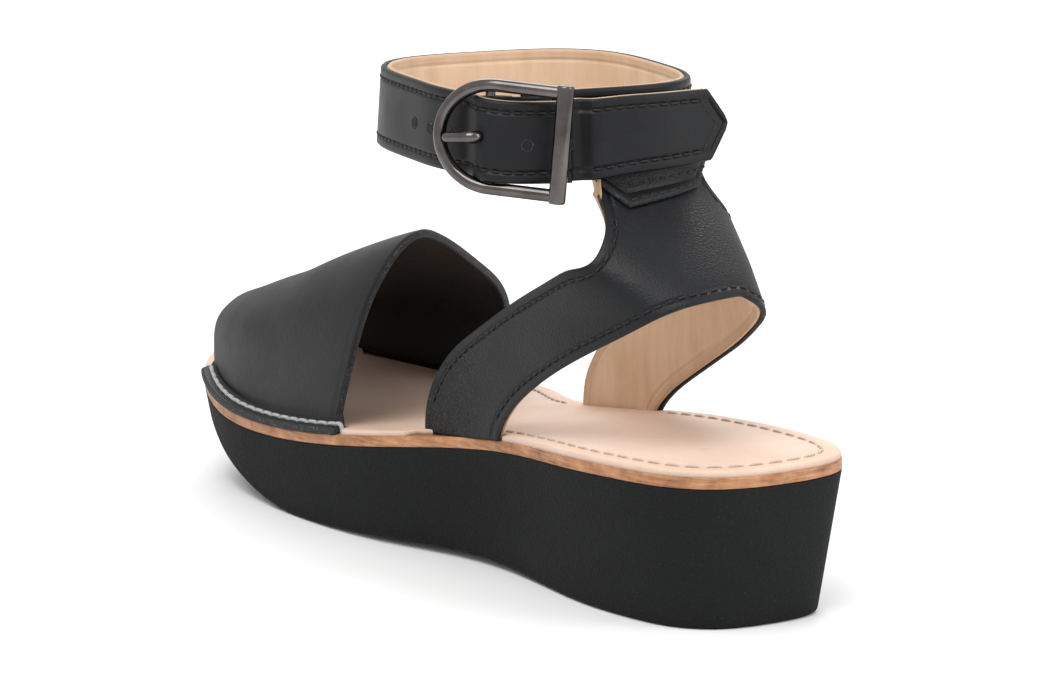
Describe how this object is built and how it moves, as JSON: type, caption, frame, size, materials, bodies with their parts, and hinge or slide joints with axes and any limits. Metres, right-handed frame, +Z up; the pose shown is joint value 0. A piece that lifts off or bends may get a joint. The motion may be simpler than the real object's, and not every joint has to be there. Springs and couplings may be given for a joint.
{
  "type": "wedge sandal",
  "caption": "Left platform wedge sandal with an open-toed leather vamp, a heel strap and a buckled ankle strap.",
  "frame": {"origin": "middle of the bounding box, on the floor", "axes": "+X from heel to toe, +Y to the outer side of the foot, +Z up"},
  "size_m": [0.2502, 0.0957, 0.1352],
  "materials": {
    "outsole_rubber": "matt black tread rubber",
    "midsole_foam": "matt black foam with a fine speckle",
    "board_edge": "burnished tan fibre edge",
    "footbed_leather": "pale natural vegetable-tanned leather",
    "upper_leather": "smooth black leather with a soft sheen",
    "lining_leather": "smooth tan lining leather",
    "buckle_metal": "polished dark nickel",
    "thread_pale": "thick waxed pale thread",
    "thread_tan": "waxed tan thread",
    "thread_black": "waxed black thread"
  },
  "bodies": {
    "root": {"outsole": "outsole_rubber", "wedge_midsole": "midsole_foam", "insole_board": "board_edge", "footbed_cover": "footbed_leather", "vamp": "upper_leather", "heel_strap": "upper_leather", "heel_strap_lining": "lining_leather", "heel_tab": "upper_leather", "ankle_strap": "upper_leather", "ankle_strap_lining": "lining_leather", "buckle_chape": "upper_leather", "vamp_flange_stitching": "thread_pale", "footbed_stitching": "thread_tan", "ankle_strap_stitching": "thread_black", "heel_strap_stitching": "thread_black", "heel_tab_stitching": "thread_black"},
    "buckle": {"buckle_frame": "buckle_metal"},
    "prong": {"buckle_prong": "buckle_metal"},
    "tail": {"strap_tail": "upper_leather", "strap_tail_lining": "lining_leather", "strap_tail_stitching": "thread_black"}
  },
  "joints": [
    {"name": "buckle_swing", "type": "hinge", "parent": "root", "child": "buckle", "pos_m": [-0.04832, 0.0358, 0.12088], "axis": [-0.0771, 0.0761, -0.9941], "range_deg": [-1, 2]},
    {"name": "prong_lift", "type": "hinge", "parent": "buckle", "child": "prong", "pos_m": [-0.04832, 0.0358, 0.12088], "axis": [0.0771, -0.0761, 0.9941], "range_deg": [0, 22]},
    {"name": "tail_flex", "type": "hinge", "parent": "root", "child": "tail", "pos_m": [-0.06346, 0.01778, 0.12105], "axis": [0.033, -0.018, 0.9993], "range_deg": [-40, 0], "stiffness_Nm_per_rad": 0.01}
  ]
}
